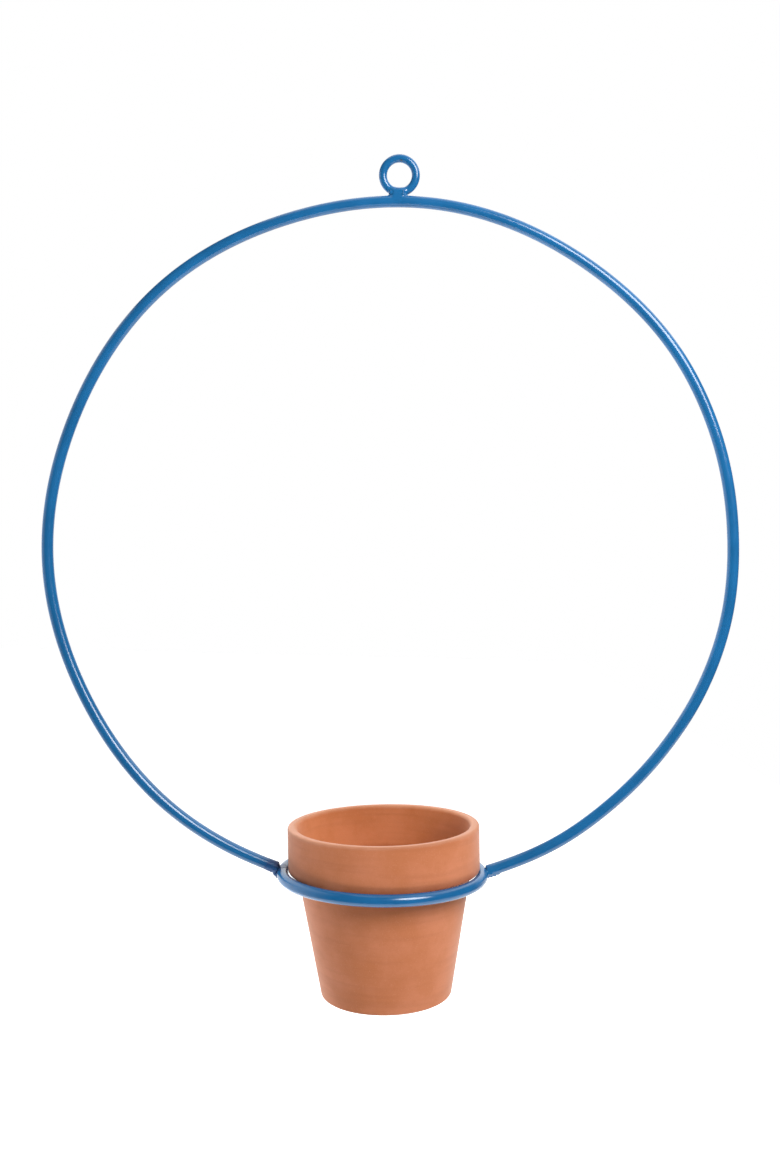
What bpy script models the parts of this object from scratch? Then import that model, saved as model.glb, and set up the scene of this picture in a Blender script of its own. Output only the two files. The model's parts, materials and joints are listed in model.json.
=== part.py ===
"""Hanging planter: a painted steel hoop with a hanging eye and a pot ring, and a clay pot in the ring.

Metres, Z up. The origin is the middle of the hanging eye's hole. X runs across the hoop,
and Y is the hoop's thin direction.
"""

import math

import bmesh
import bpy
from mathutils import Vector

# Clearance between pieces that touch
FIT_GAP = 0.0003

# Painted steel rod, bent into the hoop and the pot ring
ROD_DIAMETER = 0.0067
HOOP_OUTER_DIAMETER = 0.400

# The hoop's ends meet the pot ring this far above half its height
RING_DROP = 0.0005

# Hanging eye, a closed ring of thinner wire
EYE_HOLE_DIAMETER = 0.0142
EYE_WIRE_DIAMETER = 0.0047
EYE_STAND_OFF = 0.0008

# Weld metal under the eye
EYE_WELD_COVER = 0.0007
EYE_WELD_FILLET = 0.0019
EYE_WELD_SADDLE = 0.0009
EYE_WELD_SILL_RISE = 0.0001
EYE_WELD_SILL_WIDTH = 0.0060

# Weld beads at the hoop's two ends
END_WELD_LENGTH = 0.0042
END_WELD_LAP = 0.0014
END_WELD_ROOT = 0.0013
END_WELD_TOE = 0.0009
END_WELD_ROUNDING = 0.0004

# Clay pot
POT_RIM_DIAMETER = 0.1092
POT_HEIGHT = 0.0963
POT_TAPER = math.radians(9.9)
COLLAR_HEIGHT = 0.0259
COLLAR_STEP = 0.0052
COLLAR_CORNER = 0.0015
COLLAR_ROOT_FILLET = 0.0010
LIP_OUTER_ROUNDING = 0.0022
LIP_INNER_ROUNDING = 0.0018
POT_WALL = 0.0044
POT_FLOOR = 0.0060
BASE_ROUNDING = 0.0020
FLOOR_FILLET = 0.0040
DRAIN_HOLE_DIAMETER = 0.0160
DRAIN_HOLE_ROUNDING = 0.0008

# How the pot sits in its ring: the collar's reach over the rod when it is in the middle,
# how far it has slid to the right, and its lean to the left
COLLAR_REACH = 0.00095
POT_SLIDE = 0.0011
POT_LEAN = math.radians(2.3)

# Smoothness of the round shapes
HOOP_SEGMENTS = 96
RING_SEGMENTS = 72
EYE_SEGMENTS = 36
POT_SEGMENTS = 64
ROD_SIDES = 12
CORNER_STEPS = 3
ROUNDING_STEPS = 2
SHARP_ANGLE = math.radians(40)
SAME_POINT = 0.00001

# Paint and clay
STEEL_BLUE = (0.020, 0.125, 0.370, 1.0)
WELD_BLUE = (0.015, 0.095, 0.290, 1.0)
TERRACOTTA = (0.550, 0.190, 0.090, 1.0)
GLOSSY = 0.25
DULL = 0.35
MATT = 0.85

rod_radius = ROD_DIAMETER / 2
hoop_radius = HOOP_OUTER_DIAMETER / 2 - rod_radius
rim_radius = POT_RIM_DIAMETER / 2
ring_radius = rim_radius - COLLAR_REACH + rod_radius
ring_outer_radius = ring_radius + rod_radius

eye_wire_radius = EYE_WIRE_DIAMETER / 2
eye_radius = EYE_HOLE_DIAMETER / 2 + eye_wire_radius
eye_outer_radius = eye_radius + eye_wire_radius
hoop_centre_z = -(eye_outer_radius + EYE_STAND_OFF + HOOP_OUTER_DIAMETER / 2)

# The hoop's circle meets the outside of the pot ring
end_angle = math.asin(ring_outer_radius / hoop_radius)
end_z = hoop_centre_z - hoop_radius * math.cos(end_angle)
ring_z = end_z - RING_DROP


def make_collection(name):
    collection = bpy.data.collections.new(name)
    bpy.context.scene.collection.children.link(collection)
    return collection


def put_in(collection, piece):
    for other in list(piece.users_collection):
        other.objects.unlink(piece)
    collection.objects.link(piece)


def make_material(name, colour, roughness):
    material = bpy.data.materials.new(name)
    material.use_nodes = True
    material.diffuse_color = colour
    shader = material.node_tree.nodes["Principled BSDF"]
    shader.inputs["Base Color"].default_value = colour
    shader.inputs["Roughness"].default_value = roughness
    shader.inputs["Metallic"].default_value = 0.0
    return material


def finish_piece(piece, name, colour, roughness):
    """Name a part, give it its own material and put it with the other parts."""
    piece.name = name
    piece.data.name = name
    piece.data.materials.clear()
    piece.data.materials.append(make_material(name + "_finish", colour, roughness))
    put_in(parts, piece)


def finish_cutter(cutter, name):
    cutter.name = name
    cutter.hide_render = True
    cutter.display_type = "WIRE"
    put_in(cutters, cutter)
    return cutter


def add_ring(radius, wire_radius, segments, sides, location=(0, 0, 0), upright=False):
    """A closed ring of round wire, lying flat or standing up across Y."""
    turn = math.pi / 2 if upright else 0
    bpy.ops.mesh.primitive_torus_add(
        major_radius=radius,
        minor_radius=wire_radius,
        major_segments=segments,
        minor_segments=sides,
        location=location,
        rotation=(turn, 0, 0),
    )
    ring = bpy.context.object
    ring.data.shade_smooth()
    return ring


def shade_round_faces(piece):
    piece.data.shade_smooth()
    piece.data.set_sharp_from_angle(angle=SHARP_ANGLE)


def cut(piece, cutter):
    difference = piece.modifiers.new("cut_" + cutter.name, "BOOLEAN")
    difference.operation = "DIFFERENCE"
    difference.solver = "EXACT"
    difference.object = cutter


def arc(centre, radius, start, end, steps):
    """Points of an arc about a centre, angles in radians counter-clockwise from +X."""
    points = []
    for step in range(steps + 1):
        angle = start + (end - start) * step / steps
        points.append((centre[0] + radius * math.cos(angle), centre[1] + radius * math.sin(angle)))
    return points


def curve_to_mesh(curve_piece):
    """A welded mesh of a curve object, in the curve's place."""
    bpy.context.view_layer.update()
    evaluated = curve_piece.evaluated_get(bpy.context.evaluated_depsgraph_get())
    mesh = bpy.data.meshes.new_from_object(evaluated)
    work = bmesh.new()
    work.from_mesh(mesh)
    bmesh.ops.remove_doubles(work, verts=work.verts, dist=SAME_POINT)
    work.to_mesh(mesh)
    work.free()
    piece = bpy.data.objects.new(curve_piece.name, mesh)
    piece.matrix_world = curve_piece.matrix_world
    bpy.data.objects.remove(curve_piece)
    parts.objects.link(piece)
    return piece


def build_hoop_rod():
    """The bent rod: an arc that stops square, one gap short of the pot ring on each side."""
    stop = rod_radius * (1 - math.cos(end_angle)) + FIT_GAP
    first = end_angle + stop / hoop_radius - math.pi / 2
    last = math.pi - first
    route = arc((0, hoop_centre_z), hoop_radius, first, last, HOOP_SEGMENTS)

    curve = bpy.data.curves.new("hoop_rod", "CURVE")
    curve.dimensions = "3D"
    curve.bevel_depth = rod_radius
    curve.bevel_resolution = ROD_SIDES // 2 - 2
    curve.use_fill_caps = True
    spline = curve.splines.new("POLY")
    spline.points.add(len(route) - 1)
    for point, (x, z) in zip(spline.points, route):
        point.co = (x, 0, z, 1)
    spline.use_smooth = True
    piece = bpy.data.objects.new("hoop_rod", curve)
    finish_piece(piece, "hoop_rod", STEEL_BLUE, GLOSSY)


def build_hanging_eye():
    piece = add_ring(eye_radius, eye_wire_radius, EYE_SEGMENTS, ROD_SIDES, upright=True)
    finish_piece(piece, "hanging_eye", STEEL_BLUE, GLOSSY)


def build_pot_ring():
    piece = add_ring(ring_radius, rod_radius, RING_SEGMENTS, ROD_SIDES, location=(0, 0, ring_z))
    finish_piece(piece, "pot_ring", STEEL_BLUE, GLOSSY)


def eye_weld_outline():
    """Right half of the weld seen from the front, from the hole's sill down to the hoop.

    A fillet circle touches both the eye's outside and the hoop's outside. The weld's edge
    runs across the eye's wire to that circle, round it, and ends a little below the hoop's top.
    """
    hoop_outer = HOOP_OUTER_DIAMETER / 2
    to_eye = eye_outer_radius + EYE_WELD_FILLET
    to_hoop = hoop_outer + EYE_WELD_FILLET
    fillet_z = (to_hoop ** 2 - to_eye ** 2 - hoop_centre_z ** 2) / (-2 * hoop_centre_z)
    fillet_x = math.sqrt(to_eye ** 2 - fillet_z ** 2)
    start = math.atan2(-fillet_z, -fillet_x)
    end = math.atan2(hoop_centre_z - fillet_z, -fillet_x) + 2 * math.pi

    sill = (EYE_WELD_SILL_WIDTH / 2, EYE_WELD_SILL_RISE - EYE_HOLE_DIAMETER / 2)
    side = arc((fillet_x, fillet_z), EYE_WELD_FILLET, start, end, 2 * CORNER_STEPS)

    foot_radius = hoop_outer - EYE_WELD_SADDLE
    foot_angle = math.atan2(fillet_x, fillet_z - hoop_centre_z)
    foot = arc((0, hoop_centre_z), foot_radius, math.pi / 2 - foot_angle, math.pi / 2, CORNER_STEPS)
    return [sill] + side + foot[:-1]


def build_eye_weld(hoop_clearance, eye_clearance):
    """A plate with its outline's fillets, cut round the eye's wire and saddled on the hoop."""
    half = eye_weld_outline()
    foot_z = hoop_centre_z + HOOP_OUTER_DIAMETER / 2 - EYE_WELD_SADDLE
    outline = half + [(0, foot_z)] + [(-x, z) for x, z in reversed(half)]

    curve = bpy.data.curves.new("eye_weld", "CURVE")
    curve.dimensions = "2D"
    curve.fill_mode = "BOTH"
    curve.extrude = eye_wire_radius + FIT_GAP + EYE_WELD_COVER
    spline = curve.splines.new("POLY")
    spline.points.add(len(outline) - 1)
    for point, (x, z) in zip(spline.points, outline):
        point.co = (x, z, 0, 1)
    spline.use_cyclic_u = True
    flat = bpy.data.objects.new("eye_weld_outline", curve)
    parts.objects.link(flat)
    flat.rotation_euler = (math.pi / 2, 0, 0)

    piece = curve_to_mesh(flat)
    shade_round_faces(piece)
    finish_piece(piece, "eye_weld", WELD_BLUE, DULL)
    cut(piece, eye_clearance)
    cut(piece, hoop_clearance)


def build_end_weld(name, side, hoop_clearance, ring_clearance):
    """A bead round the hoop's end, with a root that laps over the outside of the pot ring."""
    along = Vector((math.cos(end_angle) * side, 0, math.sin(end_angle)))
    joint = Vector((ring_outer_radius * side, 0, end_z))
    middle = joint + along * (END_WELD_LENGTH - END_WELD_LAP) / 2
    bpy.ops.mesh.primitive_cone_add(
        vertices=2 * ROD_SIDES,
        radius1=rod_radius + END_WELD_ROOT,
        radius2=rod_radius + END_WELD_TOE,
        depth=END_WELD_LENGTH + END_WELD_LAP,
        location=middle,
        rotation=along.to_track_quat("Z", "Y").to_euler(),
    )
    piece = bpy.context.object
    shade_round_faces(piece)
    finish_piece(piece, name, WELD_BLUE, DULL)
    rounding = piece.modifiers.new("rounding", "BEVEL")
    rounding.width = END_WELD_ROUNDING
    rounding.segments = ROUNDING_STEPS
    rounding.limit_method = "ANGLE"
    rounding.angle_limit = SHARP_ANGLE
    cut(piece, hoop_clearance)
    cut(piece, ring_clearance)


def pot_profile():
    """The pot's closed section at +X, as (radius, height) pairs from the rim down the outside.

    Height 0 is the middle of the collar's lower corner rounding, which sits on the ring.
    """
    rim_z = COLLAR_HEIGHT - COLLAR_CORNER
    base_z = rim_z - POT_HEIGHT
    floor_z = base_z + POT_FLOOR
    collar_foot_z = -COLLAR_CORNER
    body_radius = rim_radius - COLLAR_STEP
    slope = math.tan(POT_TAPER)
    squareness = math.cos(POT_TAPER)

    def outside(z):
        return body_radius + (z - collar_foot_z) * slope

    def inside(z):
        return outside(z) - POT_WALL

    outward, up, inward, down = 0, math.pi / 2, math.pi, -math.pi / 2
    lip = (rim_radius - LIP_OUTER_ROUNDING, rim_z - LIP_OUTER_ROUNDING)
    points = arc(lip, LIP_OUTER_ROUNDING, up, outward, CORNER_STEPS)

    corner = (rim_radius - COLLAR_CORNER, 0)
    points += arc(corner, COLLAR_CORNER, outward, down, CORNER_STEPS)

    root_z = collar_foot_z - COLLAR_ROOT_FILLET
    root = (outside(root_z) + COLLAR_ROOT_FILLET / squareness, root_z)
    points += arc(root, COLLAR_ROOT_FILLET, up, inward - POT_TAPER, CORNER_STEPS)

    heel_z = base_z + BASE_ROUNDING
    heel = (outside(heel_z) - BASE_ROUNDING / squareness, heel_z)
    points += arc(heel, BASE_ROUNDING, outward - POT_TAPER, down, CORNER_STEPS)

    hole_x = DRAIN_HOLE_DIAMETER / 2 + DRAIN_HOLE_ROUNDING
    hole_foot = (hole_x, base_z + DRAIN_HOLE_ROUNDING)
    hole_top = (hole_x, floor_z - DRAIN_HOLE_ROUNDING)
    points += arc(hole_foot, DRAIN_HOLE_ROUNDING, down, -inward, ROUNDING_STEPS)
    points += arc(hole_top, DRAIN_HOLE_ROUNDING, inward, up, ROUNDING_STEPS)

    toe_z = floor_z + FLOOR_FILLET
    toe = (inside(toe_z) - FLOOR_FILLET / squareness, toe_z)
    points += arc(toe, FLOOR_FILLET, down, outward - POT_TAPER, CORNER_STEPS)

    inner_lip_z = rim_z - LIP_INNER_ROUNDING
    inner_lip = (inside(inner_lip_z) + LIP_INNER_ROUNDING / squareness, inner_lip_z)
    points += arc(inner_lip, LIP_INNER_ROUNDING, inward - POT_TAPER, up, CORNER_STEPS)
    return points


def pot_place():
    """Where the pot's collar comes to rest on the ring, slid to the right and leaning.

    The circle of the collar's corner keeps one gap to the ring's rod. Each side of the pot
    asks for a height, and the pot rests at the highest of them.
    """
    corner_circle = rim_radius - COLLAR_CORNER
    touch = rod_radius + COLLAR_CORNER + FIT_GAP
    dip = corner_circle * math.sin(POT_LEAN)

    def height_from(around):
        """The height that one side asks for. Its angle is counted from the left."""
        inset = ring_radius - corner_circle + POT_SLIDE * math.cos(around)
        over_rod = math.sqrt(max(touch ** 2 - inset ** 2, 0))
        return over_rod + dip * math.cos(around)

    height = max(height_from(2 * math.pi * side / POT_SEGMENTS) for side in range(POT_SEGMENTS))
    return Vector((POT_SLIDE, 0, ring_z + height)), (0, -POT_LEAN, 0)


def build_clay_pot():
    """The turned pot. Its origin is on the line that it lifts along."""
    section = pot_profile()
    mesh = bpy.data.meshes.new("clay_pot")
    vertices = [(x, 0, z) for x, z in section]
    edges = [(index, (index + 1) % len(section)) for index in range(len(section))]
    mesh.from_pydata(vertices, edges, [])
    piece = bpy.data.objects.new("clay_pot", mesh)
    parts.objects.link(piece)
    turning = piece.modifiers.new("turning", "SCREW")
    turning.axis = "Z"
    turning.angle = 2 * math.pi
    turning.steps = POT_SEGMENTS
    turning.render_steps = POT_SEGMENTS
    turning.use_merge_vertices = True
    turning.merge_threshold = SAME_POINT
    turning.use_smooth_shade = True
    piece.location, piece.rotation_euler = pot_place()
    finish_piece(piece, "clay_pot", TERRACOTTA, MATT)


def make_cutters():
    """The rod, ring and eye, each one gap larger, for cutting the welds to fit."""
    rod = rod_radius + FIT_GAP
    wire = eye_wire_radius + FIT_GAP
    sides = 2 * ROD_SIDES
    hoop_centre = (0, 0, hoop_centre_z)
    hoop = add_ring(hoop_radius, rod, 2 * HOOP_SEGMENTS, sides, location=hoop_centre, upright=True)
    ring = add_ring(ring_radius, rod, RING_SEGMENTS, sides, location=(0, 0, ring_z))
    eye = add_ring(eye_radius, wire, EYE_SEGMENTS, sides, upright=True)
    return (
        finish_cutter(hoop, "hoop_clearance"),
        finish_cutter(ring, "ring_clearance"),
        finish_cutter(eye, "eye_clearance"),
    )


for old in list(bpy.data.objects):
    bpy.data.objects.remove(old, do_unlink=True)

parts = make_collection("hanging_planter")
cutters = make_collection("cutters")
hoop_clearance, ring_clearance, eye_clearance = make_cutters()

build_hoop_rod()
build_hanging_eye()
build_eye_weld(hoop_clearance, eye_clearance)
build_pot_ring()
build_end_weld("left_hoop_weld", -1, hoop_clearance, ring_clearance)
build_end_weld("right_hoop_weld", 1, hoop_clearance, ring_clearance)
build_clay_pot()
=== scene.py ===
"""Looks of the hanging planter: painted steel hoop, hanging eye and pot ring, with a clay pot.

Metres, Z up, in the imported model's frame. The origin is the middle of the hanging eye's hole.
Sizes come from the model's nodes and from the mount under the pot.
"""

import json
import math

import bpy
import numpy as np
from mathutils import Matrix, Vector


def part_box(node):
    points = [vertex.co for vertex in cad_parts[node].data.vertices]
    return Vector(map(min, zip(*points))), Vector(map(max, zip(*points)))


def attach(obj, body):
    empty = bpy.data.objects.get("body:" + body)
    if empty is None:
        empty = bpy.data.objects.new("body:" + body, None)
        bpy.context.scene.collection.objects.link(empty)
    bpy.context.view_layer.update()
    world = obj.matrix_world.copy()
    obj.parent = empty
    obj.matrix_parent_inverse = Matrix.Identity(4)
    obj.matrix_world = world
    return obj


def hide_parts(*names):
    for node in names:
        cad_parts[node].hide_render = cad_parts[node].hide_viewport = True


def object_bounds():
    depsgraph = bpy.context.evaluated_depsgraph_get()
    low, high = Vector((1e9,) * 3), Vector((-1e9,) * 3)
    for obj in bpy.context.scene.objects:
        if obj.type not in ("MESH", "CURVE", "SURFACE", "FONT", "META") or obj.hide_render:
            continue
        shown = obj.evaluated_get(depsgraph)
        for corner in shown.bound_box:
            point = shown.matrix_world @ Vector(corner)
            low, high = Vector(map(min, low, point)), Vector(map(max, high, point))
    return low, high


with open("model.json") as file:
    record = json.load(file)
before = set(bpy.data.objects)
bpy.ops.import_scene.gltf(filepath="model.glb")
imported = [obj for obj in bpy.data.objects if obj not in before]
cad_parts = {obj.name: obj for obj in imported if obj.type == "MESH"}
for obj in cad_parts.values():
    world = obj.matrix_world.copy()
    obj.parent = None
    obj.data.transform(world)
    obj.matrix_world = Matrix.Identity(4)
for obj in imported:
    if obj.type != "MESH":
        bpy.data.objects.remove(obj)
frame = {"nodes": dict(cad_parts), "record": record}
cad_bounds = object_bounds()

MM = 0.001

# Camera: place, roll, and a lens given by its focal length in pixels of the photograph
IMAGE_WIDTH = 780
IMAGE_HEIGHT = 1170
FOCAL_PIXELS = 1232
AXIS_PIXEL = (390.5, 540.5)
SENSOR_MM = 36
CAMERA_PLACE = Vector((0, -0.707, -0.2096))
CAMERA_ROLL = math.radians(1.4)
CAMERA_NEAR = 0.01

# Round softbox in front of the hoop, to its upper right as the camera sees it
KEY_REACH = 0.65
KEY_DISTANCE = 0.65
KEY_DIRECTION = math.radians(44.5)
KEY_DIAMETER = 0.57
KEY_POWER = 9.8

# Soft lamps that only fill the shadows of the clay: behind it on the left, and low in front
LEFT_FILL_PLACE = (-0.90, 0.40, -0.35)
LEFT_FILL_POWER = 8.0
LOW_FILL_PLACE = (0.0, -0.70, -1.10)
LOW_FILL_POWER = 7.2
FILL_DIAMETER = 0.5

# Studio: a white wall behind, white cards above and on the left, and the rest dark. They turn
# from dark to white between two values of Y, of the direction for the wall and of the place for
# the cards
STUDIO_WHITE = 1.35
STUDIO_DARK = 0.08
WALL_BEHIND = (0.40, 1.00)
CARD_BACK = 1.2
LEFT_CARD_X = -0.42
LEFT_CARD_Z = (-0.72, 0.15)
LEFT_CARD_FADE = (-0.40, 0.15)
LEFT_CARD_WHITE = 1.35
TOP_CARD_Z = 0.32
TOP_CARD_X = (-0.22, 0.75)
TOP_CARD_FADE = (-0.40, 0.15)
TOP_CARD_WHITE = 1.6

# White floor, which starts a little in front of the planter and ends on its right
FLOOR_DROP = 0.28
FLOOR_FRONT = -0.38
FLOOR_BACK = 5.0
FLOOR_LEFT = -4.0
FLOOR_RIGHT = 0.9
FLOOR_GLOW = 0.82
FLOOR_GREY = 0.86
FLOOR_ROUGHNESS = 0.9

# Hand bends of the hoop: angle round it from +X in degrees, and millimetres outwards there
HAND_BENDS = (
    (-68, -1.8), (-60, -1.4), (-48, -1.75), (-36, -1.2), (-24, 0.0), (-12, 0.65), (4, 0.1), (20, 0.8),
    (36, 1.6), (56, 0.55), (82, 1.3), (108, 0.0), (132, 1.2), (160, -0.65), (184, 0.2), (208, -1.2),
    (234, -0.2), (248, -0.85),
)
RING_TILT = math.radians(0.86)
RING_PITCH = math.radians(0.40)

# The eye leans forward, which shows in where its highlights are
EYE_LEAN = math.radians(8.0)

# Clay pot, beside what is measured on its node
COLLAR_HEIGHT = 25.9 * MM
COLLAR_STEP = 5.2 * MM
POT_TAPER = math.radians(9.9)
POT_WALL = 4.4 * MM
POT_FLOOR = 6.0 * MM
DRAIN_HOLE_RADIUS = 8.0 * MM
FOOT_SLANT = 0.45 * MM
SLANT_REACH = 8.0 * MM

# Fillets of the pot's turned outline
RIM_OUTER_FILLET = 1.5 * MM
RIM_INNER_FILLET = 2.2 * MM
COLLAR_FOOT_FILLET = 1.5 * MM
COLLAR_STEP_FILLET = 1.0 * MM
BASE_FILLET = 2.0 * MM
DRAIN_FILLET = 0.8 * MM
FLOOR_FILLET = 4.0 * MM

# Marks of the turning: heights of two sets of fine ridges, and their spacings over two pi
RIDGE_HEIGHTS = (0.010 * MM, 0.006 * MM)
RIDGE_SPACINGS = (0.62 * MM, 0.37 * MM)
RIDGE_PHASE = 1.3
RIDGE_WAVE = 0.4

# How the rim is out of round: wider on the left, then with two and with three bulges round it,
# the last of which wind up the pot. The rim's top waves up and down a little too
WIDER_LEFT = 0.2 * MM
TWO_BULGES = 0.09 * MM
THREE_BULGES = 0.05 * MM
BULGE_PHASE = 0.7
BULGE_WINDING = 24 * MM
TOP_WAVE = 0.10 * MM
TOP_PHASE = -0.4

# Plate of weld metal under the eye, which slopes back to the eye's wire: its middle from the
# foot of the eye, its half sizes and the rounding of its edges
EYE_PLATE_MIDDLE = np.array([-0.4, 0.2, 1.2]) * MM
EYE_PLATE_HALF = np.array([4.1, 3.0, 3.1]) * MM
EYE_PLATE_SLOPE = math.radians(16)
EYE_PLATE_ROUNDING = 2.3 * MM

# Widths of the fillets between two rods, a rod and the plate, and a rod and a bead
EYE_FILLET = 1.2 * MM
EYE_PLATE_FILLET = 2.2 * MM
EYE_BEAD_FILLET = 0.5 * MM
END_FILLET = 0.9 * MM
END_BEAD_FILLET = 0.6 * MM

# The cut ends of the hoop's rod: rounding of their edges, how far the end welds' middles lie from
# the outside of the ring along the rod, and how far the hoop's piece stops short of its ends
ROD_END_ROUNDING = 0.5 * MM
END_WELD_OFFSET = 1.0 * MM
HOOP_IN_WELD = 2.5 * MM

# Runs of weld metal, as round beads: their place in millimetres from the middle of the weld, and
# their radius
EYE_BEADS = (
    (2.60, -2.20, 2.10, 0.65),
    (2.40, -2.65, 0.45, 0.65),
    (4.40, -1.50, 0.50, 0.50),
    (-4.60, -0.60, 1.60, 1.40),
    (-5.60, 0.00, -0.40, 0.90),
)
LEFT_BEADS = (
    (1.2, -1.2, 1.9, 1.3),
    (0.2, -2.0, 0.4, 1.3),
    (-0.6, -0.6, 2.6, 1.0),
    (-2.2, -2.1, 1.3, 1.1),
    (-3.2, -1.2, 2.6, 0.9),
    (0.8, 1.6, 1.4, 1.5),
    (-0.8, 2.2, 0.2, 1.3),
    (-4.2, -1.0, 0.1, 1.1),
    (-2.6, -1.0, -0.6, 1.2),
    (0.0, -0.8, -2.3, 1.5),
    (0.2, -0.8, -3.2, 1.0),
    (1.2, -0.6, -4.4, 1.0),
)
RIGHT_BEADS = (
    (-0.8, -1.6, 1.2, 1.4),
    (0.8, -2.4, 0.6, 0.9),
    (-0.6, 1.2, 1.5, 1.5),
    (0.0, -0.6, 2.0, 1.2),
    (0.6, 2.2, 0.2, 1.1),
    (-2.0, -0.5, 2.6, 1.1),
    (-1.0, -1.0, -1.2, 1.2),
    (1.0, -1.0, -0.6, 1.2),
    (3.0, -1.0, 0.0, 1.2),
    (5.0, -0.8, 0.8, 1.1),
)

# Uneven skin of the end welds: half the distance between two lumps over pi, their heights, and
# the distances from the weld's middle between which they fade
LUMP_SIZE = 0.40 * MM
LUMP_SHIFT = np.array([0.3, 1.1, 2.0])
LEFT_LUMPS = 0.22 * MM
RIGHT_LUMPS = 0.06 * MM
LUMP_FADE = (2.5 * MM, 5.0 * MM)

# The weld's skin lies this much over the rods near it, and sinks this much into them farther off.
# It sinks between two distances from the weld's middle, and ends at the reach
WELD_LIFT = 0.02 * MM
WELD_SINK = 0.35 * MM
EYE_SINK = (8.0 * MM, 10.0 * MM)
EYE_WELD_REACH = 10.5 * MM
END_SINK = (6.5 * MM, 9.0 * MM)
END_WELD_REACH = 9.5 * MM

# Paint: its colours, the range of its roughness, and the same for the burnt paint of the left weld
PAINT_DEEP = (0.0085, 0.118, 0.300, 1)
PAINT_LIGHT = (0.0105, 0.135, 0.340, 1)
PAINT_NIB = (0.020, 0.180, 0.430, 1)
PAINT_BURNT = (0.020, 0.060, 0.195, 1)
PAINT_GLOSS = (0.16, 0.22)
PAINT_IOR = 1.6
BURNT_SHARE = 0.8
BURNT_GLOSS = (0.30, 0.45)
BURNT_IOR = 1.4

# The rods are darker near the left weld: from none to the full share at two distances
LEFT_WELD_DARK_REACH = (15.0 * MM, 6.0 * MM)
LEFT_WELD_DARK_SHARE = 0.5

# What varies in the paint, each a noise given by its scale, detail and roughness: soft clouds of
# pigment, small nibs, flecks of burnt scale, patches of more or less gloss, and the orange peel.
# Under each is the part of the noise over which it goes from none to all
PAINT_CLOUDS = (45.0, 3.0, 0.55)
CLOUD_RANGE = (0.35, 0.65)
PAINT_NIBS = (900.0, 1.0, 0.5)
NIB_RANGE = (0.70, 0.78)
NIB_SHARE = 0.25
BURNT_FLECKS = (520.0, 2.0, 0.5)
FLECK_RANGE = (0.35, 0.60)
GLOSS_PATCHES = (160.0, 2.0, 0.5)
GLOSS_RANGE = (0.3, 0.7)
ORANGE_PEEL = (380.0, 1.0, 0.4)
PEEL_STRENGTH = 0.07
PEEL_DEPTH = 0.02 * MM

# The butt seam of the eye's wire shows as a brown spot in the paint
PAINT_SEAM = (0.050, 0.045, 0.020, 1)
SEAM_PLACE = (0.8 * MM, -3.1 * MM, 7.85 * MM)
SEAM_REACH = (0.9 * MM, 0.3 * MM)
SEAM_SHARE = 0.8

# Clay: two main colours, streaks, pale dust, painted shade that multiplies the colour just above the ring,
# the rim paled by wear and by a painted highlight, and painted shade inside, which multiplies the colour too
CLAY_ORANGE = (0.560, 0.192, 0.078, 1)
CLAY_PINK = (0.625, 0.231, 0.112, 1)
CLAY_BROWN = (0.400, 0.123, 0.052, 1)
CLAY_DUST = (0.690, 0.312, 0.178, 1)
CLAY_PAINTED_RING_SHADE = (0.68, 0.51, 0.43, 1)
CLAY_WORN_LIT_EDGE = (0.640, 0.350, 0.225, 1)
CLAY_INSIDE_SHADE = (1.00, 0.97, 0.80, 1)
WORN_LIT_EDGE_SHARE = 0.42

# The painted shade above the ring starts a little over the collar's foot and fades over its height, and the
# pale rim starts below the rim's top and goes on above it, where the clay's patches raise it
RING_SHADE_START = 1.5 * MM
RING_SHADE_HEIGHT = 5.0 * MM
FOOT_BLUR = 0.5 * MM
EDGE_START = -1.0 * MM
EDGE_STOP = 1.5 * MM
PATCH_SHIFT = 3.0 * MM
INSIDE_BLUR = 1.0 * MM

# What varies in the clay, given like the paint's noises, with how much of its colour each adds:
# patches, level streaks that are squeezed along the height, grains of dust, and pores
CLAY_PATCHES = (34.0, 4.0, 0.6)
PATCH_RANGE = (0.35, 0.65)
CLAY_STREAKS = (20.0, 2.0, 0.5)
STREAK_SQUEEZE = 14.0
STREAK_RANGE = (0.43, 0.73)
STREAK_SHARE = 0.17
CLAY_GRAINS = (1500.0, 2.0, 0.6)
GRAIN_RANGE = (0.58, 0.72)
GRAIN_SHARE = 0.30
CLAY_PORES = (2300.0, 1.0, 0.5)
PORE_RANGE = (0.66, 0.76)
PORE_SHARE = 0.4

# Matt surface of the clay, with its fine grain and its streaks as relief
CLAY_ROUGHNESS = 0.82
CLAY_DIFFUSE_ROUGHNESS = 0.6
CLAY_SPECULAR = 0.35
CLAY_SHEEN = 0.30
CLAY_SHEEN_ROUGHNESS = 0.4
CLAY_RELIEF = 0.05 * MM
GRAIN_STRENGTH = 0.30
STREAK_STRENGTH = 0.15

# Fineness of the meshes. The steps in the round corners of the pot's outline are shorter than
# the others by a factor
HOOP_STEPS = 720
RING_STEPS = 360
EYE_STEPS = 180
ROD_SIDES = 48
POT_STEPS = 360
POT_FACE_HEIGHT = 0.7 * MM
POT_CORNER_FINENESS = 3
WELD_GRID = 0.22 * MM

# The weld skin's vertices are moved onto the surface in a few passes, along slopes that are
# measured over a small step. Where a slope is nearly level, the least steepness stands in for it
SKIN_PASSES = 4
SLOPE_STEP = 0.02 * MM
LEAST_STEEPNESS = 0.1


# Sizes of the frame's steel parts

ring_low, ring_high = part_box("pot_ring")
rod_radius = (ring_high.z - ring_low.z) / 2
ring_radius = ring_high.x - rod_radius
ring_z = (ring_high.z + ring_low.z) / 2

hoop_low, hoop_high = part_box("hoop_rod")
hoop_radius = (hoop_high.x - hoop_low.x) / 2 - rod_radius
hoop_z = hoop_high.z - rod_radius - hoop_radius

eye_low, eye_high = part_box("hanging_eye")
eye_wire_radius = (eye_high.y - eye_low.y) / 2
eye_radius = eye_high.x - eye_wire_radius

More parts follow.
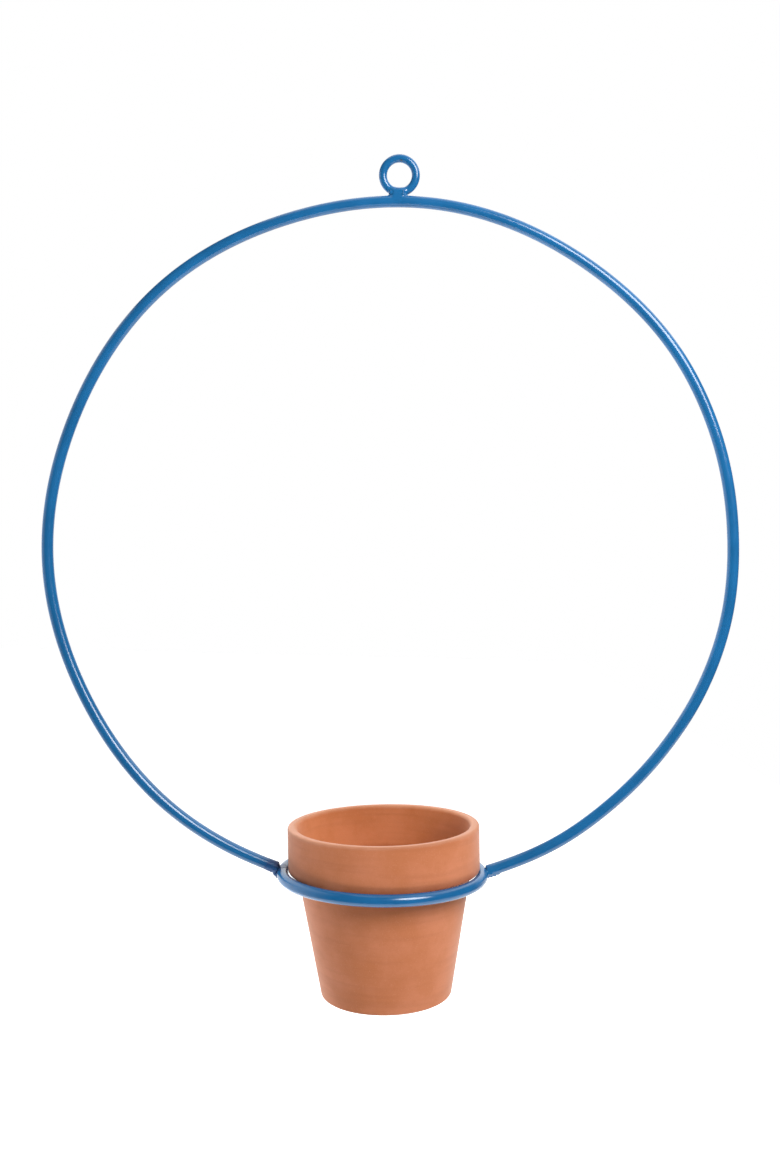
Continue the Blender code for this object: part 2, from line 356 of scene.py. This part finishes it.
# The ring as it was welded on: its right side and its front are a little high
ring_turn = Matrix.Rotation(-RING_TILT, 4, "Y") @ Matrix.Rotation(-RING_PITCH, 4, "X")
eye_turn = Matrix.Rotation(EYE_LEAN, 4, "X")

# The hoop's ends stop square against the outside of the ring
end_angle = math.asin((ring_radius + rod_radius) / hoop_radius)
end_z = hoop_z - hoop_radius * math.cos(end_angle)
rod_end = end_angle - math.pi / 2 + rod_radius * (1 - math.cos(end_angle)) / hoop_radius


def smooth_step(values):
    t = np.clip(values, 0, 1)
    return t * t * (3 - 2 * t)


def bend_at(angle):
    """How far the hoop's middle line lies outside its circle: a smooth curve through the hand bends."""
    degrees = np.degrees(angle)
    degrees = np.where(degrees < -90, degrees + 360, degrees)
    places, offsets = np.array(HAND_BENDS, dtype=float).T
    slopes = np.gradient(offsets, places)
    index = np.clip(np.searchsorted(places, degrees) - 1, 0, len(places) - 2)
    width = places[index + 1] - places[index]
    share = np.clip((degrees - places[index]) / width, 0, 1)
    left = 1 - share
    offset = left * left * ((1 + 2 * share) * offsets[index] + share * width * slopes[index])
    offset += share * share * ((1 + 2 * left) * offsets[index + 1] - left * width * slopes[index + 1])
    return offset * MM


def mesh_piece(name, vertices, faces, normals=None):
    mesh = bpy.data.meshes.new(name)
    mesh.from_pydata([tuple(v) for v in vertices], [], [tuple(int(i) for i in f) for f in faces])
    mesh.shade_smooth()
    if normals is not None:
        mesh.normals_split_custom_set_from_vertices([tuple(n) for n in normals])
    piece = bpy.data.objects.new(name, mesh)
    bpy.context.scene.collection.objects.link(piece)
    return piece


def grid_faces(rows, columns, closed):
    """Quads of a grid that is closed along its columns, and along its rows if asked."""
    faces = []
    for row in range(rows if closed else rows - 1):
        for column in range(columns):
            a = row * columns + column
            b = row * columns + (column + 1) % columns
            c = (row + 1) % rows * columns + (column + 1) % columns
            d = (row + 1) % rows * columns + column
            faces.append((a, b, c, d))
    return faces


def sweep(name, middles, outwards, sideways, radius, closed):
    """A round rod along middle points. Outwards and sideways span its cross-section."""
    turns = np.linspace(0, 2 * math.pi, ROD_SIDES, endpoint=False)
    across = np.cos(turns)[None, :, None] * outwards[:, None]
    section = across + np.sin(turns)[None, :, None] * sideways[:, None]
    vertices = (middles[:, None] + radius * section).reshape(-1, 3)
    faces = grid_faces(len(middles), ROD_SIDES, closed)
    if not closed:
        last = (len(middles) - 1) * ROD_SIDES
        faces.append(list(range(ROD_SIDES))[::-1])
        faces.append([last + side for side in range(ROD_SIDES)])
    return mesh_piece(name, vertices, faces)


def hoop_points(angles):
    """Middle points, outward directions and sideways directions round the hoop."""
    outwards = np.stack([np.cos(angles), 0 * angles, np.sin(angles)], axis=1)
    radius = hoop_radius + bend_at(angles)
    middles = outwards * radius[:, None] + np.array([0, 0, hoop_z])
    sideways = np.tile([0.0, 1.0, 0.0], (len(angles), 1))
    return middles, outwards, sideways


# Shapes given by their distance functions, for the weld metal

def rod_ring_distance(points, radius, wire):
    """Distance to a flat ring of round wire about the Z axis."""
    return np.hypot(np.hypot(points[:, 0], points[:, 1]) - radius, points[:, 2]) - wire


def blend(first, second, width):
    """Joins two shapes with a fillet about as wide as given."""
    overlap = np.maximum(width - np.abs(first - second), 0) / width
    return np.minimum(first, second) - overlap * overlap * width / 4


def hoop_distance(points, extra):
    """Distance to the endless hoop rod, thickened by extra."""
    across = np.hypot(points[:, 0], points[:, 2] - hoop_z)
    angle = np.arctan2(points[:, 2] - hoop_z, points[:, 0])
    return np.hypot(across - hoop_radius - bend_at(angle), points[:, 1]) - rod_radius - extra


def hoop_end_distance(points, side, extra, rounding):
    """Distance to the hoop rod with its square, slightly rounded end on one side."""
    around = hoop_distance(points, extra)
    angle = np.arctan2(points[:, 2] - hoop_z, points[:, 0] * side)
    past = (rod_end - angle) * hoop_radius
    corner = np.stack([around + rounding, past + rounding], axis=1)
    outside = np.linalg.norm(np.maximum(corner, 0), axis=1)
    return outside + np.minimum(corner.max(axis=1), 0) - rounding


def pot_ring_distance(points, extra):
    level = (points - np.array([0, 0, ring_z])) @ np.array(ring_turn.to_3x3())
    return rod_ring_distance(level, ring_radius, rod_radius + extra)


def eye_distance(points, extra):
    upright = (points @ np.array(eye_turn.to_3x3()))[:, [0, 2, 1]]
    return rod_ring_distance(upright, eye_radius, eye_wire_radius + extra)


def slab_distance(points, middle, half, rounding):
    """Distance to a box with rounded edges."""
    beyond = np.abs(points - middle) - (half - rounding)
    outside = np.linalg.norm(np.maximum(beyond, 0), axis=1)
    return outside + np.minimum(beyond.max(axis=1), 0) - rounding


def add_beads(field, points, beads, middle, width):
    """Blends round beads of weld metal in. A bead is (x, y, z, radius) from middle, in millimetres."""
    for x, y, z, radius in beads:
        place = middle + np.array([x, y, z]) * MM
        bead = np.linalg.norm(points - place, axis=1) - radius * MM
        field = blend(field, bead, width)
    return field


def sink(points, middle, start, stop):
    """Thickening of the weld's skin over the rods: a little near the weld, below the rods far off."""
    away = np.linalg.norm(points - middle, axis=1)
    return WELD_LIFT - (WELD_LIFT + WELD_SINK) * smooth_step((away - start) / (stop - start))


def skin(name, field, middle, reach):
    """The surface where a distance function is zero, within reach of a point, as a closed mesh.

    Each cell of a grid that the surface passes through gets one vertex, the vertices are
    moved onto the surface, and each grid edge that crosses it gets one face.
    """
    def bounded(points):
        return np.maximum(field(points), np.linalg.norm(points - middle, axis=1) - reach)

    count = int(math.ceil(2 * (reach + 2 * WELD_GRID) / WELD_GRID))
    line = (np.arange(count + 1) - count / 2) * WELD_GRID
    corners = np.stack(np.meshgrid(line, line, line, indexing="ij"), axis=-1) + middle
    values = bounded(corners.reshape(-1, 3)).reshape(corners.shape[:3])
    inside = values < 0

    total = np.zeros((count, count, count, 3))
    crossings = np.zeros((count, count, count), dtype=int)
    edges = []
    for axis in range(3):
        here = np.moveaxis(inside, axis, 0)
        low, high = here[:-1], here[1:]
        crossed = low != high
        depth = np.moveaxis(values, axis, 0)
        place = np.moveaxis(corners, axis, 0)
        share = np.where(crossed, depth[:-1] / np.where(crossed, depth[:-1] - depth[1:], 1), 0)
        point = place[:-1] + (place[1:] - place[:-1]) * share[..., None]
        cell_total = np.moveaxis(total, axis, 0)
        cell_count = np.moveaxis(crossings, axis, 0)
        for j in (0, 1):
            for k in (0, 1):
                part = (slice(None), slice(j, j + count), slice(k, k + count))
                cell_total += point[part] * crossed[part][..., None]
                cell_count += crossed[part]
        edges.append((crossed, low))

    used = crossings > 0
    number = np.full(used.shape, -1)
    number[used] = np.arange(used.sum())
    vertices = total[used] / crossings[used][:, None]

    faces = []
    for axis, (crossed, low) in enumerate(edges):
        cells = np.moveaxis(number, axis, 0)
        i, j, k = np.nonzero(crossed[:, 1:-1, 1:-1])
        around = (cells[i, j, k], cells[i, j + 1, k], cells[i, j + 1, k + 1], cells[i, j, k + 1])
        quad = np.stack(around, axis=1)
        outward = low[:, 1:-1, 1:-1][i, j, k] ^ (axis == 1)
        faces.append(np.where(outward[:, None], quad, quad[:, ::-1]))

    for _ in range(SKIN_PASSES):
        slope = gradient(bounded, vertices)
        steepness = np.maximum((slope * slope).sum(axis=1), LEAST_STEEPNESS)
        vertices = vertices - slope * (bounded(vertices) / steepness)[:, None]
    slope = gradient(bounded, vertices)
    normals = slope / np.linalg.norm(slope, axis=1)[:, None]
    return mesh_piece(name, vertices, np.concatenate(faces), normals)


def gradient(field, points):
    """Slope of a distance function at points, from small steps to both sides."""
    slopes = []
    for axis in range(3):
        step = np.zeros(3)
        step[axis] = SLOPE_STEP
        slopes.append((field(points + step) - field(points - step)) / (2 * SLOPE_STEP))
    return np.stack(slopes, axis=1)


# Materials

def add_node(tree, kind, settings=(), **inputs):
    node = tree.nodes.new(kind)
    for name, value in dict(settings).items():
        setattr(node, name, value)
    for name, value in inputs.items():
        socket = node.inputs[name.replace("_", " ")]
        if isinstance(value, bpy.types.NodeSocket):
            tree.links.new(value, socket)
        else:
            socket.default_value = value
    return node


def new_material(name):
    material = bpy.data.materials.new(name)
    material.use_nodes = True
    return material, material.node_tree, material.node_tree.nodes["Principled BSDF"]


def noise(tree, place, scale, detail, roughness):
    made = add_node(tree, "ShaderNodeTexNoise", Vector=place, Scale=scale, Detail=detail, Roughness=roughness)
    return made.outputs["Fac"]


def ramp(tree, value, start, stop, low, high):
    made = add_node(tree, "ShaderNodeMapRange", {"interpolation_type": "SMOOTHSTEP"}, Value=value)
    for name, number in (("From Min", start), ("From Max", stop), ("To Min", low), ("To Max", high)):
        made.inputs[name].default_value = number
    return made.outputs["Result"]


def arithmetic(tree, operation, *values):
    node = tree.nodes.new("ShaderNodeMath")
    node.operation = operation
    for socket, value in zip(node.inputs, values):
        if isinstance(value, bpy.types.NodeSocket):
            tree.links.new(value, socket)
        else:
            socket.default_value = value
    return node.outputs["Value"]


def away_from(tree, place, point):
    """Distance of the shaded point from a point."""
    node = add_node(tree, "ShaderNodeVectorMath", {"operation": "DISTANCE"})
    tree.links.new(place, node.inputs[0])
    node.inputs[1].default_value = point
    return node.outputs["Value"]


def mix_colour(tree, share, first, second, kind="MIX"):
    made = tree.nodes.new("ShaderNodeMix")
    made.data_type = "RGBA"
    made.blend_type = kind
    for socket, value in (("Factor_Float", share), ("A_Color", first), ("B_Color", second)):
        target = next(s for s in made.inputs if s.identifier == socket)
        if isinstance(value, bpy.types.NodeSocket):
            tree.links.new(value, target)
        else:
            target.default_value = value
    return next(s for s in made.outputs if s.identifier == "Result_Color")


def paint_material(name, gloss, ior, burnt):
    """Glossy blue lacquer, sprayed: a slight orange peel, and pigment that varies a little.

    Gloss is the range of its roughness, and burnt is how much of the dark weld scale shows through.
    """
    material, tree, shader = new_material(name)
    place = add_node(tree, "ShaderNodeTexCoord").outputs["Object"]
    clouds = ramp(tree, noise(tree, place, *PAINT_CLOUDS), *CLOUD_RANGE, 0.0, 1.0)
    colour = mix_colour(tree, clouds, PAINT_DEEP, PAINT_LIGHT)
    nibs = ramp(tree, noise(tree, place, *PAINT_NIBS), *NIB_RANGE, 0.0, NIB_SHARE)
    colour = mix_colour(tree, nibs, colour, PAINT_NIB)
    flecks = ramp(tree, noise(tree, place, *BURNT_FLECKS), *FLECK_RANGE, 0.0, burnt)
    colour = mix_colour(tree, flecks, colour, PAINT_BURNT)
    # The rods are made darker towards the left weld
    left_weld = away_from(tree, place, (-ring_radius - rod_radius, 0, end_z))
    darker_by_left_weld = ramp(tree, left_weld, *LEFT_WELD_DARK_REACH, 0.0, LEFT_WELD_DARK_SHARE)
    colour = mix_colour(tree, darker_by_left_weld, colour, PAINT_BURNT)
    seam = ramp(tree, away_from(tree, place, SEAM_PLACE), *SEAM_REACH, 0.0, SEAM_SHARE)
    colour = mix_colour(tree, seam, colour, PAINT_SEAM)
    tree.links.new(colour, shader.inputs["Base Color"])

    roughness = ramp(tree, noise(tree, place, *GLOSS_PATCHES), *GLOSS_RANGE, *gloss)
    tree.links.new(roughness, shader.inputs["Roughness"])
    shader.inputs["IOR"].default_value = ior

    peel = noise(tree, place, *ORANGE_PEEL)
    bump = add_node(tree, "ShaderNodeBump", Strength=PEEL_STRENGTH, Distance=PEEL_DEPTH, Height=peel)
    tree.links.new(bump.outputs["Normal"], shader.inputs["Normal"])
    return material


def pot_coordinates(tree, place):
    """Distance from the pot's axis and height over its base, of the shaded point."""
    base, side, up = pot_frame()
    local = add_node(tree, "ShaderNodeMapping", {"vector_type": "TEXTURE"}, Vector=place)
    local.inputs["Location"].default_value = base
    local.inputs["Rotation"].default_value = (0, math.atan2(up.x, up.z), 0)
    parts = add_node(tree, "ShaderNodeSeparateXYZ", Vector=local.outputs["Vector"]).outputs
    across = arithmetic(tree, "MULTIPLY", parts["X"], parts["X"])
    across = arithmetic(tree, "MULTIPLY_ADD", parts["Y"], parts["Y"], across)
    return arithmetic(tree, "SQRT", across), parts["Z"]


def clay_material():
    """Unglazed terracotta: soft patches of colour, fine grain, painted shade over the ring and inside, and a
    rim paled by wear and a painted highlight.
    """
    material, tree, shader = new_material("terracotta")
    place = add_node(tree, "ShaderNodeTexCoord").outputs["Object"]

    patches = noise(tree, place, *CLAY_PATCHES)
    colour = mix_colour(tree, ramp(tree, patches, *PATCH_RANGE, 0.0, 1.0), CLAY_ORANGE, CLAY_PINK)
    flat = add_node(tree, "ShaderNodeMapping", Vector=place)
    flat.inputs["Scale"].default_value = (1.0, 1.0, STREAK_SQUEEZE)
    streaks = noise(tree, flat.outputs["Vector"], *CLAY_STREAKS)
    colour = mix_colour(tree, ramp(tree, streaks, *STREAK_RANGE, 0.0, STREAK_SHARE), colour, CLAY_BROWN)
    grains = noise(tree, place, *CLAY_GRAINS)
    colour = mix_colour(tree, ramp(tree, grains, *GRAIN_RANGE, 0.0, GRAIN_SHARE), colour, CLAY_DUST)
    pores = noise(tree, place, *CLAY_PORES)
    colour = mix_colour(tree, ramp(tree, pores, *PORE_RANGE, 0.0, PORE_SHARE), colour, CLAY_BROWN)

    radius, height = pot_coordinates(tree, place)
    top = pot_size()[0]
    foot = top - COLLAR_HEIGHT
    uneven_height = arithmetic(tree, "MULTIPLY_ADD", patches, PATCH_SHIFT, height)
    # Painted shade: the collar is darkened just above its foot, where the ring sits against it
    ring_shade_low = foot + RING_SHADE_START
    ring_shade = ramp(tree, uneven_height, ring_shade_low, ring_shade_low + RING_SHADE_HEIGHT, 1.0, 0.0)
    above = ramp(tree, height, foot - FOOT_BLUR, foot, 0.0, 1.0)
    colour = mix_colour(tree, arithmetic(tree, "MULTIPLY", ring_shade, above), colour, CLAY_PAINTED_RING_SHADE, "MULTIPLY")
    # Painted shade: the inside of the pot is multiplied by a deeper colour
    inner = arithmetic(tree, "MULTIPLY_ADD", height, -math.tan(POT_TAPER), radius)
    middle_of_wall = wall_radius(0) - POT_WALL / 2
    inside = ramp(tree, inner, middle_of_wall - INSIDE_BLUR, middle_of_wall, 1.0, 0.0)
    colour = mix_colour(tree, inside, colour, CLAY_INSIDE_SHADE, "MULTIPLY")
    # The rim is paled partly by wear and partly by a painted highlight where the lip catches the light
    rim = ramp(tree, uneven_height, top + EDGE_START, top + EDGE_STOP, 0.0, WORN_LIT_EDGE_SHARE)
    colour = mix_colour(tree, rim, colour, CLAY_WORN_LIT_EDGE)
    tree.links.new(colour, shader.inputs["Base Color"])

    shader.inputs["Roughness"].default_value = CLAY_ROUGHNESS
    shader.inputs["Diffuse Roughness"].default_value = CLAY_DIFFUSE_ROUGHNESS
    shader.inputs["Specular IOR Level"].default_value = CLAY_SPECULAR
    shader.inputs["Sheen Weight"].default_value = CLAY_SHEEN
    shader.inputs["Sheen Roughness"].default_value = CLAY_SHEEN_ROUGHNESS

    grain = add_node(tree, "ShaderNodeBump", Strength=GRAIN_STRENGTH, Distance=CLAY_RELIEF, Height=grains)
    relief = add_node(tree, "ShaderNodeBump", Strength=STREAK_STRENGTH, Distance=CLAY_RELIEF, Height=streaks)
    tree.links.new(grain.outputs["Normal"], relief.inputs["Normal"])
    tree.links.new(relief.outputs["Normal"], shader.inputs["Normal"])
    return material


# Pieces of the planter

def dress(piece, material, slot, body, *nodes):
    piece.data.materials.append(material)
    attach(piece, body)
    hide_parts(*nodes)


def build_hoop(paint):
    """The bent rod. Its ends reach into the weld skins, which carry on the rod to its cut ends."""
    start = rod_end + HOOP_IN_WELD / hoop_radius
    angles = np.linspace(start, math.pi - start, HOOP_STEPS + 1)
    middles, outwards, sideways = hoop_points(angles)
    piece = sweep("painted_hoop", middles, outwards, sideways, rod_radius, closed=False)
    dress(piece, paint, "blue_paint", "hanger", "hoop_rod")


def build_pot_ring(paint):
    angles = np.linspace(0, 2 * math.pi, RING_STEPS, endpoint=False)
    outwards = np.stack([np.cos(angles), np.sin(angles), 0 * angles], axis=1)
    upwards = np.tile([0.0, 0.0, 1.0], (RING_STEPS, 1))
    piece = sweep("painted_pot_ring", outwards * ring_radius, outwards, upwards, rod_radius, closed=True)
    piece.data.transform(Matrix.Translation((0, 0, ring_z)) @ ring_turn)
    dress(piece, paint, "blue_paint", "hanger", "pot_ring")


def build_eye(paint):
    angles = np.linspace(0, 2 * math.pi, EYE_STEPS, endpoint=False)
    outwards = np.stack([np.cos(angles), 0 * angles, np.sin(angles)], axis=1)
    sideways = np.tile([0.0, 1.0, 0.0], (EYE_STEPS, 1))
    piece = sweep("painted_eye", outwards * eye_radius, outwards, sideways, eye_wire_radius, closed=True)
    piece.data.transform(eye_turn)
    dress(piece, paint, "blue_paint", "hanger", "hanging_eye")


def build_eye_weld(paint):
    """Weld metal that fills the foot of the eye down to the hoop, flush with the hoop in front."""
    foot = -eye_radius - eye_wire_radius
    middle = np.array([0, 0, foot])
    plate_turn = np.array(Matrix.Rotation(-EYE_PLATE_SLOPE, 3, "X"))

    def field(points):
        extra = sink(points, middle, *EYE_SINK)
        steel = blend(eye_distance(points, extra), hoop_distance(points, extra), EYE_FILLET)
        turned = (points - middle) @ plate_turn
        plate = slab_distance(turned, EYE_PLATE_MIDDLE, EYE_PLATE_HALF, EYE_PLATE_ROUNDING)
        steel = blend(steel, plate, EYE_PLATE_FILLET)
        return add_beads(steel, points, EYE_BEADS, middle, EYE_BEAD_FILLET)

    piece = skin("painted_eye_weld", field, middle, EYE_WELD_REACH)
    dress(piece, paint, "blue_paint", "hanger", "eye_weld")


def build_end_weld(name, node, side, beads, lumps, paint):
    """Weld metal between one end of the hoop and the outside of the pot ring."""
    along = np.array([math.cos(end_angle) * side, 0, math.sin(end_angle)])
    middle = np.array([(ring_radius + rod_radius) * side, 0, end_z]) + along * END_WELD_OFFSET
    fade_start, fade_stop = LUMP_FADE

    def field(points):
        extra = sink(points, middle, *END_SINK)
        rod = hoop_end_distance(points, side, extra, ROD_END_ROUNDING)
        steel = blend(rod, pot_ring_distance(points, extra), END_FILLET)
        steel = add_beads(steel, points, beads, middle, END_BEAD_FILLET)
        away = np.linalg.norm(points - middle, axis=1)
        near = 1 - smooth_step((away - fade_start) / (fade_stop - fade_start))
        waves = np.prod(np.sin((points - middle) / LUMP_SIZE + LUMP_SHIFT), axis=1)
        return steel - lumps * near * waves

    piece = skin(name, field, middle, END_WELD_REACH)
    dress(piece, paint, "blue_paint", "hanger", node)


def rounded_outline(corners, spacing):
    """A closed outline through corners (x, z, fillet radius), with round corners and even steps."""
    count = len(corners)
    points = []
    for index, (x, z, fillet) in enumerate(corners):
        here = Vector((x, z))
        back = (Vector(corners[index - 1][:2]) - here).normalized()
        ahead = (Vector(corners[(index + 1) % count][:2]) - here).normalized()
        half = math.acos(max(-1.0, min(1.0, back.dot(ahead)))) / 2
        centre = here + (back + ahead).normalized() * fillet / math.sin(half)
        start = here + back * fillet / math.tan(half) - centre
        stop = here + ahead * fillet / math.tan(half) - centre
        sweep_angle = math.pi - 2 * half
        steps = max(3, math.ceil(sweep_angle * fillet / (spacing / POT_CORNER_FINENESS)))
        for step in range(steps + 1):
            share = step / steps
            weight = (math.sin((1 - share) * sweep_angle), math.sin(share * sweep_angle))
            arm = (start * weight[0] + stop * weight[1]) / math.sin(sweep_angle)
            points.append(centre + arm)
    outline = []
    for index, point in enumerate(points):
        following = points[(index + 1) % len(points)]
        steps = max(1, math.ceil((following - point).length / spacing))
        outline += [point.lerp(following, step / steps) for step in range(steps)]
    return np.array([tuple(p) for p in outline])


def pot_frame():
    """The middle of the pot's base and the directions of its own axes, from the mount under it."""
    mount = next(m for m in frame["record"]["mounts"] if m["name"] == "pot_base")
    up = -Vector(mount["axis"])
    base = Vector(mount["pos_m"])
    base.y = 0
    side = Vector((0, 1, 0)).cross(up)
    return base, side, up


def pot_size():
    """Height and rim radius, measured on the node along the pot's own axis."""
    base, side, up = pot_frame()
    co = np.array([v.co for v in frame["nodes"]["clay_pot"].data.vertices]) - np.array(base)
    height = (co @ np.array(up)).max()
    radius = np.hypot(co @ np.array(side), co[:, 1]).max()
    return height, radius


def wall_radius(z):
    """Outer radius of the pot's body at a height over its base."""
    height, rim = pot_size()
    return rim - COLLAR_STEP + (z - height + COLLAR_HEIGHT) * math.tan(POT_TAPER)


def build_pot(clay):
    """The turned pot: a little out of round, its collar's foot not quite level, and with fine ridges."""
    height, rim = pot_size()
    foot = height - COLLAR_HEIGHT
    corners = (
        (rim, height, RIM_OUTER_FILLET),
        (rim, foot, COLLAR_FOOT_FILLET),
        (wall_radius(foot), foot, COLLAR_STEP_FILLET),
        (wall_radius(0), 0, BASE_FILLET),
        (DRAIN_HOLE_RADIUS, 0, DRAIN_FILLET),
        (DRAIN_HOLE_RADIUS, POT_FLOOR, DRAIN_FILLET),
        (wall_radius(POT_FLOOR) - POT_WALL, POT_FLOOR, FLOOR_FILLET),
        (wall_radius(height) - POT_WALL, height, RIM_INNER_FILLET),
    )
    outline = rounded_outline(corners, POT_FACE_HEIGHT)
    turn = np.linspace(0, 2 * math.pi, POT_STEPS, endpoint=False)[None, :]
    radius = outline[:, 0][:, None]
    z = outline[:, 1][:, None]
    ridges = RIDGE_HEIGHTS[0] * np.sin(z / RIDGE_SPACINGS[0])
    wave = RIDGE_PHASE + RIDGE_WAVE * np.sin(turn)
    ridges = ridges + RIDGE_HEIGHTS[1] * np.sin(z / RIDGE_SPACINGS[1] + wave)
    oval = WIDER_LEFT * (1 - np.cos(turn))
    oval = oval + TWO_BULGES * np.cos(2 * turn + BULGE_PHASE)
    oval = oval + THREE_BULGES * np.cos(3 * turn + z / BULGE_WINDING)
    radius = radius + ridges + oval * z / height
    level = z + TOP_WAVE * np.cos(2 * turn + TOP_PHASE) * (z / height)
    level = level - FOOT_SLANT * np.cos(turn) * np.exp(-((z - foot) / SLANT_REACH) ** 2)

    base, side, up = pot_frame()
    vertices = (
        np.array(base)
        + (radius * np.cos(turn))[..., None] * np.array(side)
        + (radius * np.sin(turn))[..., None] * np.array((0.0, 1.0, 0.0))
        + (level + 0 * turn)[..., None] * np.array(up)
    )
    faces = grid_faces(len(outline), POT_STEPS, closed=True)
    piece = mesh_piece("terracotta_pot", vertices.reshape(-1, 3), faces)
    dress(piece, clay, "terracotta", "pot", "clay_pot")


# Stage, lamps and camera

def build_floor():
    """A pale floor well below the hanging planter, white to the camera but for the shadow on it."""
    level = cad_bounds[0].z - FLOOR_DROP
    front = [(FLOOR_LEFT, FLOOR_FRONT, level), (FLOOR_RIGHT, FLOOR_FRONT, level)]
    corners = front + [(FLOOR_RIGHT, FLOOR_BACK, level), (FLOOR_LEFT, FLOOR_BACK, level)]
    floor = mesh_piece("floor", corners, [(0, 1, 2, 3)])
    material, tree, shader = new_material("floor_white")
    shader.inputs["Base Color"].default_value = (FLOOR_GREY, FLOOR_GREY, FLOOR_GREY, 1)
    shader.inputs["Roughness"].default_value = FLOOR_ROUGHNESS
    shader.inputs["Emission Color"].default_value = (1, 1, 1, 1)
    seen = add_node(tree, "ShaderNodeLightPath")
    plain = arithmetic(tree, "MAXIMUM", seen.outputs["Is Camera Ray"], seen.outputs["Is Glossy Ray"])
    tree.links.new(arithmetic(tree, "MULTIPLY", plain, FLOOR_GLOW), shader.inputs["Emission Strength"])
    floor.data.materials.append(material)


def build_world():
    """The dark room with its white wall behind. The camera itself sees plain white."""
    world = bpy.data.worlds.new("studio")
    bpy.context.scene.world = world
    world.use_nodes = True
    world.cycles.sampling_method = "NONE"
    tree = world.node_tree
    direction = add_node(tree, "ShaderNodeTexCoord").outputs["Generated"]
    depth = add_node(tree, "ShaderNodeSeparateXYZ", Vector=direction).outputs["Y"]
    level = ramp(tree, depth, *WALL_BEHIND, STUDIO_DARK, STUDIO_WHITE)
    seen = add_node(tree, "ShaderNodeLightPath")
    plain = arithmetic(tree, "MAXIMUM", seen.outputs["Is Camera Ray"], seen.outputs["Is Transmission Ray"])
    studio = arithmetic(tree, "MULTIPLY", arithmetic(tree, "SUBTRACT", 1, plain), level)
    background = tree.nodes["Background"]
    background.inputs["Color"].default_value = (1, 1, 1, 1)
    tree.links.new(arithmetic(tree, "ADD", plain, studio), background.inputs["Strength"])


def build_card(name, corners, fade, white):
    """A glowing white card, which fades out towards the front and isn't seen by the camera."""
    card = mesh_piece(name, corners, [(0, 1, 2, 3)])
    material, tree, shader = new_material(name)
    place = add_node(tree, "ShaderNodeTexCoord").outputs["Object"]
    depth = add_node(tree, "ShaderNodeSeparateXYZ", Vector=place).outputs["Y"]
    shader.inputs["Base Color"].default_value = (0, 0, 0, 1)
    shader.inputs["Specular IOR Level"].default_value = 0
    shader.inputs["Emission Color"].default_value = (1, 1, 1, 1)
    tree.links.new(ramp(tree, depth, *fade, 0, white), shader.inputs["Emission Strength"])
    card.data.materials.append(material)
    card.visible_camera = False
    card.visible_shadow = False


def build_cards():
    low, high = LEFT_CARD_Z
    front = LEFT_CARD_FADE[0]
    outline = ((front, low), (CARD_BACK, low), (CARD_BACK, high), (front, high))
    upright = [(LEFT_CARD_X, y, z) for y, z in outline]
    build_card("left_card", upright, LEFT_CARD_FADE, LEFT_CARD_WHITE)
    left, right = TOP_CARD_X
    front = TOP_CARD_FADE[0]
    outline = ((left, front), (right, front), (right, CARD_BACK), (left, CARD_BACK))
    level = [(x, y, TOP_CARD_Z) for x, y in outline]
    build_card("top_card", level, TOP_CARD_FADE, TOP_CARD_WHITE)


def build_lamp(name, place, target, diameter, power):
    """A round softbox at a place, facing a target."""
    lamp = bpy.data.lights.new(name, "AREA")
    lamp.shape = "DISK"
    lamp.size = diameter
    lamp.energy = power
    holder = bpy.data.objects.new(name, lamp)
    holder.rotation_euler = (place - target).to_track_quat("Z", "Y").to_euler()
    holder.location = place
    bpy.context.scene.collection.objects.link(holder)
    return holder


def build_lamps():
    """The key softbox faces the middle of the hoop. The fills face the pot and show in no gloss."""
    hoop_middle = Vector((0, 0, hoop_z))
    reach = Vector((math.cos(KEY_DIRECTION), 0, math.sin(KEY_DIRECTION))) * KEY_REACH
    key_place = hoop_middle + reach + Vector((0, -KEY_DISTANCE, 0))
    build_lamp("key_softbox", key_place, hoop_middle, KEY_DIAMETER, KEY_POWER)
    pot_middle = Vector((0, 0, ring_z))
    for name, place, power in (
        ("left_fill", LEFT_FILL_PLACE, LEFT_FILL_POWER),
        ("low_fill", LOW_FILL_PLACE, LOW_FILL_POWER),
    ):
        fill = build_lamp(name, Vector(place), pot_middle, FILL_DIAMETER, power)
        fill.visible_glossy = False


def build_camera():
    lens = bpy.data.cameras.new("camera")
    lens.sensor_width = SENSOR_MM
    lens.lens = SENSOR_MM * FOCAL_PIXELS / IMAGE_HEIGHT
    lens.shift_x = (IMAGE_WIDTH / 2 - AXIS_PIXEL[0]) / IMAGE_HEIGHT
    lens.shift_y = (AXIS_PIXEL[1] - IMAGE_HEIGHT / 2) / IMAGE_HEIGHT
    lens.clip_start = CAMERA_NEAR
    holder = bpy.data.objects.new("camera", lens)
    level = Matrix.Rotation(math.pi / 2, 4, "X")
    holder.matrix_world = Matrix.Translation(CAMERA_PLACE) @ level @ Matrix.Rotation(CAMERA_ROLL, 4, "Z")
    bpy.context.scene.collection.objects.link(holder)
    bpy.context.scene.camera = holder


paint = paint_material("blue_paint", PAINT_GLOSS, PAINT_IOR, 0.0)
dark_paint = paint_material("dark_weld_paint", BURNT_GLOSS, BURNT_IOR, BURNT_SHARE)
clay = clay_material()
build_hoop(paint)
build_pot_ring(paint)
build_eye(paint)
build_eye_weld(paint)
build_end_weld("painted_left_weld", "left_hoop_weld", -1, LEFT_BEADS, LEFT_LUMPS, dark_paint)
build_end_weld("painted_right_weld", "right_hoop_weld", 1, RIGHT_BEADS, RIGHT_LUMPS, paint)
build_pot(clay)

build_floor()
build_world()
build_cards()
build_lamps()
build_camera()
bpy.context.scene.view_settings.view_transform = "Standard"
